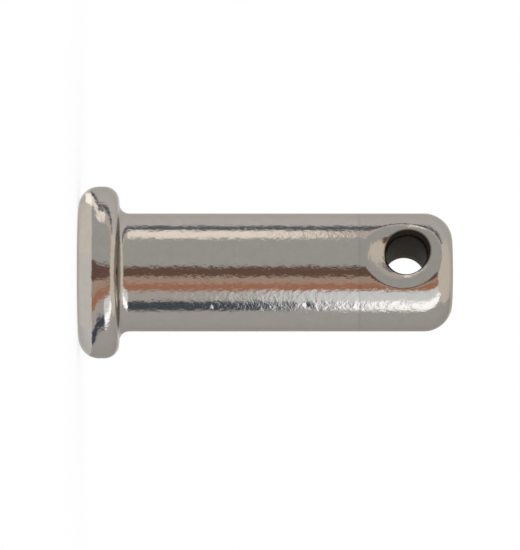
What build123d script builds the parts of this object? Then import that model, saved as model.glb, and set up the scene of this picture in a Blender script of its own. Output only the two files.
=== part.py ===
from build123d import *
import math
import os

# Clevis pin, cold headed and turned from one piece of steel, then polished and plated.
# It stands on its head: the origin is the middle of the head's flat face and +Z runs
# along the pin to its tip. The cross hole for the cotter runs along Y.
# All sizes are in millimetres.

# Head
head_diameter = 11.65
head_thickness = 2.75
head_face_rounding = 1.4    # between the flat face and the rim
head_back_rounding = 1.0    # between the rim and the seat
neck_rounding = 0.7         # between the seat and the shank
smallest_flat = 0.1         # left between two roundings that share a short wall

# Shank and tip
shank_diameter = 8.0
shank_length = 22.6         # seat of the head to the middle of the tip
tip_rounding = 1.8          # between the shank and the end face
tip_crown_height = 0.15     # how far the end face bulges over the shank's width

# Cross hole, drilled a little to one side of the pin's middle
cotter_hole_diameter = 2.8
cotter_hole_to_tip = 3.2    # middle of the hole to the middle of the tip
cotter_hole_offset = 0.45   # from the pin's middle, towards -X
hole_edge_rounding = 0.3    # where the hole runs into the countersink

# Countersink at each mouth, run in by hand a little out of line with the hole
countersink_width = 0.9     # how much wider than the hole all round, at the shank's side
countersink_angle = 90.0    # between opposite walls of the cone
countersink_lead = 0.3      # from the hole's middle, towards the head
countersink_shift = 0.15    # from the hole's middle, towards +X
countersink_rounding = 0.6  # where the cone runs out into the shank

tool_overrun = 1.0          # how far a cutting tool starts outside the shank

shank_radius = shank_diameter / 2
head_radius = head_diameter / 2
total_length = head_thickness + shank_length
hole_height = total_length - cotter_hole_to_tip


def sharing(wall, *roundings):
    """The roundings at the two ends of a wall, both made smaller where it is too short."""
    share = min(1, (wall - smallest_flat) / sum(roundings))
    return [rounding * share for rounding in roundings]


def turned_blank():
    """Head, shank and tip as one half section, turned about the pin's middle."""
    back, neck = sharing(head_radius - shank_radius, head_back_rounding, neck_rounding)
    face, back = sharing(head_thickness, head_face_rounding, back)
    head_front = (head_radius, 0)
    head_back = (head_radius, head_thickness)
    shank_start = (shank_radius, head_thickness)
    shank_end = (shank_radius, total_length - tip_crown_height)
    crown_radius = (shank_radius**2 + tip_crown_height**2) / (2 * tip_crown_height)
    corners = ((head_front, face), (head_back, back), (shank_start, neck), (shank_end, tip_rounding))
    with BuildPart() as blank:
        with BuildSketch(Plane.XZ) as half_section:
            with BuildLine():
                Polyline((0, total_length), (0, 0), head_front, head_back, shank_start, shank_end)
                RadiusArc(shank_end, (0, total_length), -crown_radius)
            make_face()
            for corner, rounding in corners:
                fillet(half_section.vertices().sort_by_distance(corner)[0], rounding)
        revolve(axis=Axis.Z)
    return blank.part


def countersink():
    """Cone that opens outwards at the mouth of the cross hole on the -Y side."""
    half_angle = math.radians(countersink_angle / 2)
    width_at_shank = cotter_hole_diameter / 2 + countersink_width
    width_at_start = width_at_shank + tool_overrun * math.tan(half_angle)
    start = (
        countersink_shift - cotter_hole_offset,
        -shank_radius - tool_overrun,
        hole_height - countersink_lead,
    )
    depth = width_at_start / math.tan(half_angle)
    cone = Cone(width_at_start, 0, depth, align=(Align.CENTER, Align.CENTER, Align.MIN))
    return Plane(origin=start, x_dir=(0, 0, 1), z_dir=(0, 1, 0)) * cone


def cross_drill():
    """Drill that passes right through the shank."""
    drill = Cylinder(cotter_hole_diameter / 2, shank_diameter + 2 * tool_overrun)
    centre = (-cotter_hole_offset, 0, hole_height)
    return Plane(origin=centre, x_dir=(0, 0, 1), z_dir=(0, 1, 0)) * drill


def round_off(solid, faces, rounding):
    """Round every edge of the given faces, apart from their seams."""
    return fillet(faces.edges().filter_by(GeomType.LINE, reverse=True), rounding)


def clevis_pin():
    """The blank countersunk, softened, drilled through and deburred."""
    cone = countersink()
    pin = turned_blank() - [cone, mirror(cone, Plane.XZ)]
    pin = round_off(pin, pin.faces().filter_by(GeomType.CONE), countersink_rounding)
    pin = pin - cross_drill()
    bore_walls = pin.faces().filter_by(GeomType.CYLINDER)
    bore_walls = bore_walls.filter_by(lambda wall: wall.axis_of_rotation.is_parallel(Axis.Y))
    return round_off(pin, bore_walls, hole_edge_rounding)


os.makedirs("parts", exist_ok=True)
export_step(clevis_pin(), "parts/clevis_pin.step")
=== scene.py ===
import math

import bpy
from mathutils import Matrix, Vector


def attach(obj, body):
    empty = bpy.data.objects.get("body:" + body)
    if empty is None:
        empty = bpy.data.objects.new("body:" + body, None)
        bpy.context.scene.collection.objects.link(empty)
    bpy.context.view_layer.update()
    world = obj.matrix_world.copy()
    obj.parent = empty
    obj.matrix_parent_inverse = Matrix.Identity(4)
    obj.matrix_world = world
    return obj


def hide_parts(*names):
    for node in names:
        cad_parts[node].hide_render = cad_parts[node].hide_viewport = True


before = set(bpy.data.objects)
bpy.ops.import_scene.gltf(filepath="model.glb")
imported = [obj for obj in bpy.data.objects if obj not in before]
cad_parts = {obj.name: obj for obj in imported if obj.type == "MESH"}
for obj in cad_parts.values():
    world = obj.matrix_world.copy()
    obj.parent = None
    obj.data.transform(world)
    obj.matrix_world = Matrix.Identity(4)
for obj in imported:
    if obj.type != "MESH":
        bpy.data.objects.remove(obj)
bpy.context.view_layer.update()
scene = bpy.context.scene
millimetre = 0.001
quarterTurn = math.pi / 2

# Sums in a node tree

class Field:
    # a value in the node tree, so that places on the pin are written as plain sums
    def __init__(self, tree, socket):
        self.tree = tree
        self.socket = socket

    def reckon(self, operation, *others):
        node = self.tree.nodes.new("ShaderNodeMath")
        node.operation = operation
        for slot, value in enumerate((self, *others)):
            if isinstance(value, Field):
                self.tree.links.new(value.socket, node.inputs[slot])
            else:
                node.inputs[slot].default_value = value
        return Field(self.tree, node.outputs[0])

    def __add__(self, other):
        return self.reckon("ADD", other)

    def __sub__(self, other):
        return self.reckon("SUBTRACT", other)

    def __rsub__(self, other):
        return self.reckon("MULTIPLY", -1).reckon("ADD", other)

    def __mul__(self, other):
        return self.reckon("MULTIPLY", other)

    def __truediv__(self, other):
        return self.reckon("DIVIDE", other)

    def __rtruediv__(self, other):
        return self.reckon("POWER", -1) * other

    def towards(self, end, share):
        return self + (end - self) * share

    def clamped(self):
        return self.reckon("MAXIMUM", 0).reckon("MINIMUM", 1)

    __radd__ = __add__
    __rmul__ = __mul__

def wire(tree, node, **values):
    # sets or links a node's inputs by name, with spaces for underscores
    for name, value in values.items():
        socket = node.inputs[name.replace("_", " ")]
        if isinstance(value, Field):
            tree.links.new(value.socket, socket)
        elif isinstance(value, bpy.types.NodeSocket):
            tree.links.new(value, socket)
        else:
            socket.default_value = value
    return node

# Pin: one grid, wrapped round the profile and drawn in at the two mouths of the cross hole, in millimetres

pinSizes = dict(
    headRadius=5.825,
    headThickness=2.75,
    faceRounding=1.4,
    backRounding=1.0,
    neckRounding=0.7,
    shankRadius=4.0,
    tipHeight=25.2,  # end face at the shank's edge, before its crown
    tipRounding=1.8,
    crownHeight=0.15,
    holeRadius=1.4,
    holeHeight=22.15,
    holeSideways=-0.45,
    mouthHalfWidth=2.345,  # across the shank
    mouthSideways=-0.295,
    mouthHalfLength=2.66,  # along the shank
    mouthLengthways=-0.24,  # from the middle of the hole
    lipDepth=0.635,  # from the shank down to the straight wall of the hole
    lipDepthLengthways=-0.2,
    lipDepthSideways=0.18,
    lipDepthSaddle=0.145,  # deeper along the shank than across it
    lipCurve=1.2,  # 1 for a straight countersink, more where it runs out gently into the shank
)
pinCounts = dict(
    columns=240,  # round the pin
    rows=332,  # along the profile
    middleRing=7,  # rings of the grid round the hole: at the middle of its wall
    edgeRing=11,  # where the wall meets the lip
    outlineRing=25,  # where the lip runs out into the shank
    outerRing=34,  # where the grid is plain again
)
# small nicks: degrees round from -Y towards +X, then height, radius and depth
nickPlaces = (
    (50.3, 9.2, 0.15, 0.025),
    (47.7, 15.4, 0.14, 0.025),
    (32.8, 10.6, 0.11, 0.01),
)
roundingPoints = 96  # along each rounding of the profile
weldDistance = 0.002

def profileCurve(tree, size):
    # half section from the middle of the head's face to the middle of the tip, corners rounded
    corners = (
        (0, 0, 0),
        (size["headRadius"], 0, size["faceRounding"]),
        (size["headRadius"], size["headThickness"], size["backRounding"]),
        (size["shankRadius"], size["headThickness"], size["neckRounding"]),
        (size["shankRadius"], size["tipHeight"], size["tipRounding"]),
        (0, size["tipHeight"], 0),
    )
    line = wire(tree, tree.nodes.new("GeometryNodeMeshLine"), Count=len(corners))
    curve = tree.nodes.new("GeometryNodeMeshToCurve")
    tree.links.new(line.outputs[0], curve.inputs["Mesh"])
    index = tree.nodes.new("GeometryNodeInputIndex").outputs[0]
    choices = []
    for kind in ("VECTOR", "FLOAT"):
        choice = tree.nodes.new("GeometryNodeIndexSwitch")
        choice.data_type = kind
        while len(choice.index_switch_items) < len(corners):
            choice.index_switch_items.new()
        tree.links.new(index, choice.inputs["Index"])
        choices.append(choice)
    place, radius = choices
    for number, (outwards, height, rounding) in enumerate(corners):
        point = wire(tree, tree.nodes.new("ShaderNodeCombineXYZ"), X=outwards, Z=height)
        tree.links.new(point.outputs[0], place.inputs[str(number)])
        wire(tree, radius, **{str(number): rounding})
    moved = tree.nodes.new("GeometryNodeSetPosition")
    wire(tree, moved, Geometry=curve.outputs[0], Position=place.outputs[0])
    rounded = tree.nodes.new("GeometryNodeFilletCurve")
    rounded.mode = "POLY"
    wire(tree, rounded, Curve=moved.outputs[0], Radius=radius.outputs[0], Count=roundingPoints)
    return rounded.outputs[0]

def pinInputs(tree):
    # sizes and counts as the tree's inputs
    interface = tree.interface
    interface.new_socket("Geometry", in_out="OUTPUT", socket_type="NodeSocketGeometry")
    interface.new_socket("Geometry", in_out="INPUT", socket_type="NodeSocketGeometry")
    for name in pinSizes:
        interface.new_socket(name, in_out="INPUT", socket_type="NodeSocketFloat")
    for name in pinCounts:
        interface.new_socket(name, in_out="INPUT", socket_type="NodeSocketInt")
    given = tree.nodes.new("NodeGroupInput").outputs
    return {name: Field(tree, given[name]) for name in (*pinSizes, *pinCounts)}

def holePathAlong(size):
    # length of the profile from the middle of the head's face to the middle of the hole
    saved = 2 - quarterTurn  # each rounding cuts its corner short by this share of its radius
    roundings = size["faceRounding"] + size["backRounding"] + size["neckRounding"]
    headPath = size["headRadius"] * 2 - size["shankRadius"] - roundings * saved
    return headPath + size["holeHeight"]

def mouthRings(size, sideways, lengthways):
    # square rings of the grid round the hole, and the share of the way across wall, lip and surroundings
    ring = sideways.reckon("ABSOLUTE").reckon("MAXIMUM", lengthways.reckon("ABSOLUTE"))
    marks = [size[name] for name in ("middleRing", "edgeRing", "outlineRing", "outerRing")]
    shares = [((ring - first) / (last - first)).clamped() for first, last in zip(marks, marks[1:])]
    return ring, *shares

def mouthDepth(size, sine, cosine, lipShare):
    # how far the lip is sunk into the shank, less and less towards its outline
    lip = size["lipDepth"] + size["lipDepthLengthways"] * cosine + size["lipDepthSideways"] * sine
    lip = lip + size["lipDepthSaddle"] * (cosine * cosine - sine * sine)
    return lip * (1 - lipShare).reckon("POWER", size["lipCurve"])

def gridPlaces(size, folded, row, rowStep):
    # turn round the pin and path along it, from the hole's edge to the outline to the plain grid
    shankRadius = size["shankRadius"]
    columnStep = 2 * math.pi / size["columns"]
    holePath = holePathAlong(size)
    holeTurn = (size["holeSideways"] / shankRadius).reckon("ARCSINE")
    middleColumn = ((holeTurn + quarterTurn) / columnStep).reckon("ROUND")
    middleRow = (holePath / rowStep).reckon("ROUND")
    sideways = folded - middleColumn
    lengthways = row - middleRow
    ring, wallShare, lipShare, outerShare = mouthRings(size, sideways, lengthways)
    bearing = sideways.reckon("ARCTAN2", lengthways)
    sine, cosine = bearing.reckon("SINE"), bearing.reckon("COSINE")
    edgeTurn = ((size["holeSideways"] + size["holeRadius"] * sine) / shankRadius).reckon("ARCSINE")
    edgePath = holePath + size["holeRadius"] * cosine
    outlineSideways = size["mouthSideways"] + size["mouthHalfWidth"] * sine
    outlineTurn = (outlineSideways / shankRadius).reckon("ARCSINE")
    outlinePath = holePath + size["mouthLengthways"] + size["mouthHalfLength"] * cosine
    spread = (size["outerRing"] / ring.reckon("MAXIMUM", 1)).reckon("MAXIMUM", 1)
    plainTurn = (middleColumn + sideways * spread) * columnStep - quarterTurn
    plainPath = (middleRow + lengthways * spread) * rowStep
    turn = edgeTurn.towards(outlineTurn, lipShare).towards(plainTurn, outerShare)
    path = edgePath.towards(outlinePath, lipShare).towards(plainPath, outerShare)
    return ring, turn, path, wallShare, mouthDepth(size, sine, cosine, lipShare)

def nicked(radius, height, turn, side, shankRadius):
    for degrees, nickHeight, nickRadius, nickDepth in nickPlaces:
        along = height - nickHeight
        around = (turn - math.radians(degrees)) * shankRadius
        apart = (along * along + around * around) / nickRadius**2
        dent = (apart * -1).reckon("EXPONENT") * nickDepth
        radius = radius - dent * side.reckon("MAXIMUM", 0)
    return radius

def finishedMesh(tree, placed, inside, finish):
    # opens the hole, joins the two halves of its wall, and brings the pin to metres
    opened = tree.nodes.new("GeometryNodeDeleteGeometry")
    wire(tree, opened, Geometry=placed, Selection=inside)
    welded = tree.nodes.new("GeometryNodeMergeByDistance")
    wire(tree, welded, Geometry=opened.outputs[0], Distance=weldDistance)
    scaled = tree.nodes.new("GeometryNodeTransform")
    wire(tree, scaled, Geometry=welded.outputs[0], Scale=(millimetre,) * 3)
    smooth = tree.nodes.new("GeometryNodeSetShadeSmooth")
    tree.links.new(scaled.outputs[0], smooth.inputs[0])
    realized = tree.nodes.new("GeometryNodeRealizeInstances")
    tree.links.new(smooth.outputs[0], realized.inputs[0])
    finished = tree.nodes.new("GeometryNodeSetMaterial")
    wire(tree, finished, Geometry=realized.outputs[0], Material=finish)
    return finished.outputs[0]

def pinTree(finish):
    tree = bpy.data.node_groups.new("turned pin", "GeometryNodeTree")
    size = pinInputs(tree)

    # the grid's columns and rows, folded so that both mouths share one set of sums
    grid = tree.nodes.new("GeometryNodeMeshGrid")
    wire(tree, grid, Vertices_X=size["columns"] + 1, Vertices_Y=size["rows"] + 1)
    across = wire(tree, tree.nodes.new("ShaderNodeSeparateXYZ"), Vector=grid.outputs["UV Map"])
    column = (Field(tree, across.outputs["X"]) * size["columns"]).reckon("ROUND")
    row = (Field(tree, across.outputs["Y"]) * size["rows"]).reckon("ROUND")
    half = size["columns"] / 2
    folded = half - (column - half).reckon("ABSOLUTE")
    side = (half - column).reckon("SIGN")  # 1 on the -Y side

    # each point's place on the profile
    profile = profileCurve(tree, size)
    length = tree.nodes.new("GeometryNodeCurveLength")
    tree.links.new(profile, length.inputs["Curve"])
    rowStep = Field(tree, length.outputs[0]) / size["rows"]
    ring, turn, path, wallShare, sunk = gridPlaces(size, folded, row, rowStep)
    sample = tree.nodes.new("GeometryNodeSampleCurve")
    sample.mode = "LENGTH"
    wire(tree, sample, Curves=profile, Length=path)
    place = wire(tree, tree.nodes.new("ShaderNodeSeparateXYZ"), Vector=sample.outputs["Position"])
    radius, height = Field(tree, place.outputs["X"]), Field(tree, place.outputs["Z"])

    # crowned end face, nicks and the wall of the hole
    atTip = height.reckon("GREATER_THAN", size["holeHeight"])
    drop = (radius / size["shankRadius"]).reckon("POWER", 2)
    height = height + size["crownHeight"] * (1 - drop) * atTip
    radius = nicked(radius, height, turn, side, size["shankRadius"])
    outwards = (radius * turn.reckon("COSINE") - sunk) * wallShare * side * -1
    put = tree.nodes.new("ShaderNodeCombineXYZ")
    wire(tree, put, X=radius * turn.reckon("SINE"), Y=outwards, Z=height)
    placed = tree.nodes.new("GeometryNodeSetPosition")
    wire(tree, placed, Geometry=grid.outputs["Mesh"], Position=put.outputs[0])
    inside = ring.reckon("LESS_THAN", size["middleRing"])
    finished = finishedMesh(tree, placed.outputs[0], inside, finish)
    tree.links.new(finished, tree.nodes.new("NodeGroupOutput").inputs[0])
    return tree

def pinPiece(finish):
    holder = bpy.data.objects.new("pin holder", bpy.data.meshes.new("pin holder"))
    scene.collection.objects.link(holder)
    tree = pinTree(finish)
    modifier = holder.modifiers.new("turned pin", "NODES")
    modifier.node_group = tree
    given = {**pinSizes, **pinCounts}
    for item in tree.interface.items_tree:
        if item.in_out == "INPUT" and item.name in given:
            modifier[item.identifier] = given[item.name]
    evaluated = holder.evaluated_get(bpy.context.evaluated_depsgraph_get())
    mesh = bpy.data.meshes.new_from_object(evaluated)
    bpy.data.objects.remove(holder)
    mesh.name = "clevis pin"
    pin = bpy.data.objects.new("clevisPin", mesh)
    scene.collection.objects.link(pin)
    return pin

# Plated steel: bright, with slow waves, a fine ripple and a faint mottle

steelSettings = dict(
    colour=(0.52, 0.499, 0.472, 1),
    edgeTint=(0.7, 0.69, 0.66, 1),
    # inside the cross hole: the drilled wall's colour, darkened nearly to black with painted shade
    boreWallAndShadeColour=(0.035, 0.03, 0.024, 1),
    roughness=0.11,
    boreRoughness=0.55,
    rippleScale=2600.0,
    rippleDepth=0.000021,
    waveScale=700.0,
    waveDepth=0.000016,
    bumpDetail=3.0,  # of both ripple and waves
    bumpRoughness=0.6,
    mottleScale=1500.0,
    mottleShade=0.16,
    mottleDetail=4.0,
    mottleRoughness=0.7,
    boreShadeSideways=-0.63,  # middle of the dark part, the painted shade in the cross hole, which reaches a little past the hole's wall
    boreShadeHeight=22.23,
    boreShadeEdge=(1.5, 1.64),  # from that middle, where the drilled wall and its painted shade give way to plating
    ringHeight=18.95,  # faint line round the shank, short of the hole
    ringWidth=0.12,
    ringShade=0.07,
    tipShade=0.04,  # a little duller from that line to the tip
)

def platingShare(across, height):
    # 0 on the drilled wall of the cross hole, painted dark as the shade inside the hole, 1 on the plating
    across = across - steelSettings["boreShadeSideways"]
    along = height - steelSettings["boreShadeHeight"]
    bare, plated = steelSettings["boreShadeEdge"]
    return (((across * across + along * along).reckon("SQRT") - bare) / (plated - bare)).clamped()

def ringDullness(height):
    # how much light the faint line and the part beyond it lose
    above = height - steelSettings["ringHeight"]
    line = (above * above / -steelSettings["ringWidth"] ** 2).reckon("EXPONENT")
    return line * steelSettings["ringShade"] + above.reckon("GREATER_THAN", 0) * steelSettings["tipShade"]

def mottled(tree, where):
    # share of the light that the plating keeps, a little less in specks
    settings = steelSettings
    noise = tree.nodes.new("ShaderNodeTexNoise")
    wire(tree, noise, Vector=where, Scale=settings["mottleScale"])
    wire(tree, noise, Detail=settings["mottleDetail"], Roughness=settings["mottleRoughness"])
    return 1 - Field(tree, noise.outputs[0]) * settings["mottleShade"]

def rippled(tree, where):
    # surface direction with slow waves and the fine ripple on top
    settings = steelSettings
    normal = None
    for scale, depth in (("waveScale", "waveDepth"), ("rippleScale", "rippleDepth")):
        noise = tree.nodes.new("ShaderNodeTexNoise")
        wire(tree, noise, Vector=where, Scale=settings[scale])
        wire(tree, noise, Detail=settings["bumpDetail"], Roughness=settings["bumpRoughness"])
        bump = tree.nodes.new("ShaderNodeBump")
        wire(tree, bump, Height=noise.outputs[0], Distance=settings[depth], Strength=1.0)
        if normal:
            wire(tree, bump, Normal=normal)
        normal = bump.outputs[0]
    return normal

def socketCalled(sockets, identifier):
    # a Mix node's sockets share their names, and their identifiers tell them apart
    return next(socket for socket in sockets if socket.identifier == identifier)

def platedSteel():
    material = bpy.data.materials.new("plated steel")
    material.use_nodes = True
    tree = material.node_tree
    shader = tree.nodes["Principled BSDF"]
    settings = steelSettings
    where = tree.nodes.new("ShaderNodeTexCoord").outputs["Object"]
    parts = wire(tree, tree.nodes.new("ShaderNodeSeparateXYZ"), Vector=where).outputs
    across, height = Field(tree, parts["X"]) / millimetre, Field(tree, parts["Z"]) / millimetre
    platedNotShaded = platingShare(across, height)
    colour = tree.nodes.new("ShaderNodeMix")
    colour.data_type = "RGBA"
    # from the painted shade of the hole to the bright steel, with the mottle and the faint line
    wire(tree, colour, Factor=platedNotShaded * mottled(tree, where) * (1 - ringDullness(height)))
    socketCalled(colour.inputs, "A_Color").default_value = settings["boreWallAndShadeColour"]
    socketCalled(colour.inputs, "B_Color").default_value = settings["colour"]
    roughness = settings["boreRoughness"] + (settings["roughness"] - settings["boreRoughness"]) * platedNotShaded
    wire(tree, shader, Metallic=1.0, Base_Color=socketCalled(colour.outputs, "Result_Color"))
    wire(tree, shader, Roughness=roughness, Specular_Tint=settings["edgeTint"])
    wire(tree, shader, Normal=rippled(tree, where))
    return material

pin = pinPiece(platedSteel())
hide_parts("clevis_pin")
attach(pin, "root")
print("pin made,", len(pin.data.polygons), "faces")

# Studio: white floor and world, and a ring of cards and flags that the steel mirrors, in metres

cameraTurn = math.radians(14.5)  # round from -Y towards +X
cardRadius = 0.08
cardTop = 0.13
# start and end in degrees round from the camera, + towards -X, and bottom and top
studioCards = (
    dict(name="greyWall", start=101, end=195, low=0, high=cardTop, colour=(0.82, 0.8, 0.77)),
    dict(name="darkEdge", start=88, end=101, low=0, high=cardTop, colour=(0.17, 0.18, 0.22)),
    dict(name="creamSoftbox", start=69, end=88, low=0, high=0.017, colour=(1.5, 1.36, 1.24)),
    dict(name="dimSoftbox", start=69, end=88, low=0.017, high=cardTop, colour=(0.8, 0.72, 0.66)),
    dict(name="greyScreen", start=11, end=69, low=0, high=cardTop, colour=(0.6, 0.59, 0.57)),
    dict(name="darkFlag", start=-8, end=11, low=0, high=cardTop, colour=(0.22, 0.13, 0.1)),
    dict(name="tanScreen", start=-21, end=-8, low=0, high=cardTop, colour=(0.66, 0.48, 0.38)),
    dict(name="orangeScreen", start=-35, end=-21, low=0, high=cardTop, colour=(0.6, 0.28, 0.17)),
    dict(name="paleScreen", start=-57, end=-35, low=0, high=0.013, colour=(0.67, 0.63, 0.6)),
    dict(name="coolScreen", start=-57, end=-35, low=0.013, high=cardTop, colour=(1.15, 1.2, 1.22)),
    dict(name="blueFlag", start=-78, end=-57, low=0, high=0.014, colour=(0.09, 0.11, 0.14)),
    dict(name="paleStep", start=-78, end=-57, low=0.014, high=0.0195, colour=(0.8, 0.82, 0.86)),
    dict(name="whiteSoftbox", start=-78, end=-57, low=0.0195, high=cardTop, colour=(2.1, 2.1, 2.15)),
    dict(name="greySide", start=-165, end=-78, low=0, high=cardTop, colour=(0.64, 0.62, 0.6)),
)
footStart = 0.0072  # each card also runs in over the floor, up to this far from the pin's middle
footHeight = 0.0001
# small cards on the floor round the head and just under its rounding, which mirrors them
floorCards = (
    dict(name="creamFloorCard", start=66, end=92, near=0.0057, colour=(2.1, 1.95, 1.8)),
    dict(name="warmFloorCard", start=15, end=66, near=0.005, colour=(1.05, 0.98, 0.89)),
    dict(name="paleFloorCard", start=-45, end=15, near=0.005, colour=(0.96, 0.95, 0.9)),
)
ceiling = dict(height=0.14, halfWidth=0.6, colour=(1.0, 0.91, 0.79))
degreesPerStrip = 2

def glowing(name, colour):
    material = bpy.data.materials.new(name)
    material.use_nodes = True
    tree = material.node_tree
    tree.nodes.clear()
    glow = wire(tree, tree.nodes.new("ShaderNodeEmission"), Color=(*colour, 1), Strength=1.0)
    tree.links.new(glow.outputs[0], tree.nodes.new("ShaderNodeOutputMaterial").inputs[0])
    return material

def staged(name, places, faces, material):
    mesh = bpy.data.meshes.new(name)
    mesh.from_pydata(places, [], faces)
    mesh.materials.append(material)
    thing = bpy.data.objects.new(name, mesh)
    scene.collection.objects.link(thing)
    return thing

def mirroredOnly(thing):
    # a card shows in the steel, and neither hides the pin nor shades the floor
    thing.visible_camera = False
    thing.visible_diffuse = False
    thing.visible_shadow = False
    thing.visible_transmission = False

def bentCard(name, start, end, edges, colour):
    # a strip bent round the pin, its section given by radius and height
    strips = round((end - start) / degreesPerStrip)
    count = len(edges)
    places = []
    for step in range(strips + 1):
        angle = cameraTurn - math.radians(start + (end - start) * step / strips)
        for radius, height in edges:
            places.append((radius * math.sin(angle), -radius * math.cos(angle), height))
    faces = []
    for step in range(strips):
        for n in range(step * count, step * count + count - 1):
            faces.append((n, n + 1, n + count + 1, n + count))
    mirroredOnly(staged(name, places, faces, glowing(name, colour)))

def studioCard(name, start, end, low, high, colour):
    edges = [(cardRadius, max(low, footHeight)), (cardRadius, high)]
    if low == 0:
        edges.insert(0, (footStart, footHeight))
    bentCard(name, start, end, edges, colour)

def floorCard(name, start, end, near, colour):
    bentCard(name, start, end, ((near, footHeight), (footStart, footHeight)), colour)

def square(halfWidth, height):
    return [(x * halfWidth, y * halfWidth, height) for x, y in ((-1, -1), (1, -1), (1, 1), (-1, 1))]

for card in studioCards:
    studioCard(**card)
for card in floorCards:
    floorCard(**card)
ceilingPlaces = square(ceiling["halfWidth"], ceiling["height"])
mirroredOnly(staged("ceiling", ceilingPlaces, [(0, 1, 2, 3)], glowing("ceiling", ceiling["colour"])))

floorSettings = dict(halfWidth=4.0, glowShare=0.75)
white = (1, 1, 1, 1)

def whiteFloor():
    # takes the pin's shadow, and glows for the camera and the steel so that it looks white
    material = bpy.data.materials.new("white floor")
    material.use_nodes = True
    tree = material.node_tree
    nodes = tree.nodes
    nodes.clear()
    light = nodes.new("ShaderNodeLightPath").outputs
    seen = Field(tree, light["Is Camera Ray"]) + Field(tree, light["Is Glossy Ray"])
    seen = (seen + Field(tree, light["Is Transmission Ray"])).clamped()
    paint = wire(tree, nodes.new("ShaderNodeBsdfDiffuse"), Color=white)
    glow = wire(tree, nodes.new("ShaderNodeEmission"), Color=white, Strength=1.0)
    mix = wire(tree, nodes.new("ShaderNodeMixShader"), Fac=seen * floorSettings["glowShare"])
    tree.links.new(paint.outputs[0], mix.inputs[1])
    tree.links.new(glow.outputs[0], mix.inputs[2])
    tree.links.new(mix.outputs[0], nodes.new("ShaderNodeOutputMaterial").inputs[0])
    return material

staged("floor", square(floorSettings["halfWidth"], 0), [(0, 1, 2, 3)], whiteFloor())

world = bpy.data.worlds.new("white studio")
world.use_nodes = True
wire(world.node_tree, world.node_tree.nodes["Background"], Color=white, Strength=1.0)
scene.world = world
print("studio made")

# Camera: level with the middle of the pin and turned so that the tip points right

cameraSettings = dict(
    distance=0.45,
    nearest=0.01,
    pictureHeight=0.03726,  # at the pin's middle
    height=0.01229,  # middle of the picture, along the pin
    lower=0.00017,  # and across it
)

def studioCamera():
    settings = cameraSettings
    lens = bpy.data.cameras.new("camera")
    lens.lens = lens.sensor_width * settings["distance"] / settings["pictureHeight"]
    lens.clip_start = settings["nearest"]
    camera = bpy.data.objects.new("camera", lens)
    back = Vector((math.sin(cameraTurn), -math.cos(cameraTurn), 0))
    right = Vector((0, 0, 1))
    up = back.cross(right)
    centre = right * settings["height"] - up * settings["lower"]
    turned = Matrix((right, up, back)).transposed().to_4x4()
    camera.matrix_world = Matrix.Translation(centre + back * settings["distance"]) @ turned
    scene.collection.objects.link(camera)
    scene.camera = camera

studioCamera()
scene.view_settings.view_transform = "Standard"
print("camera placed")
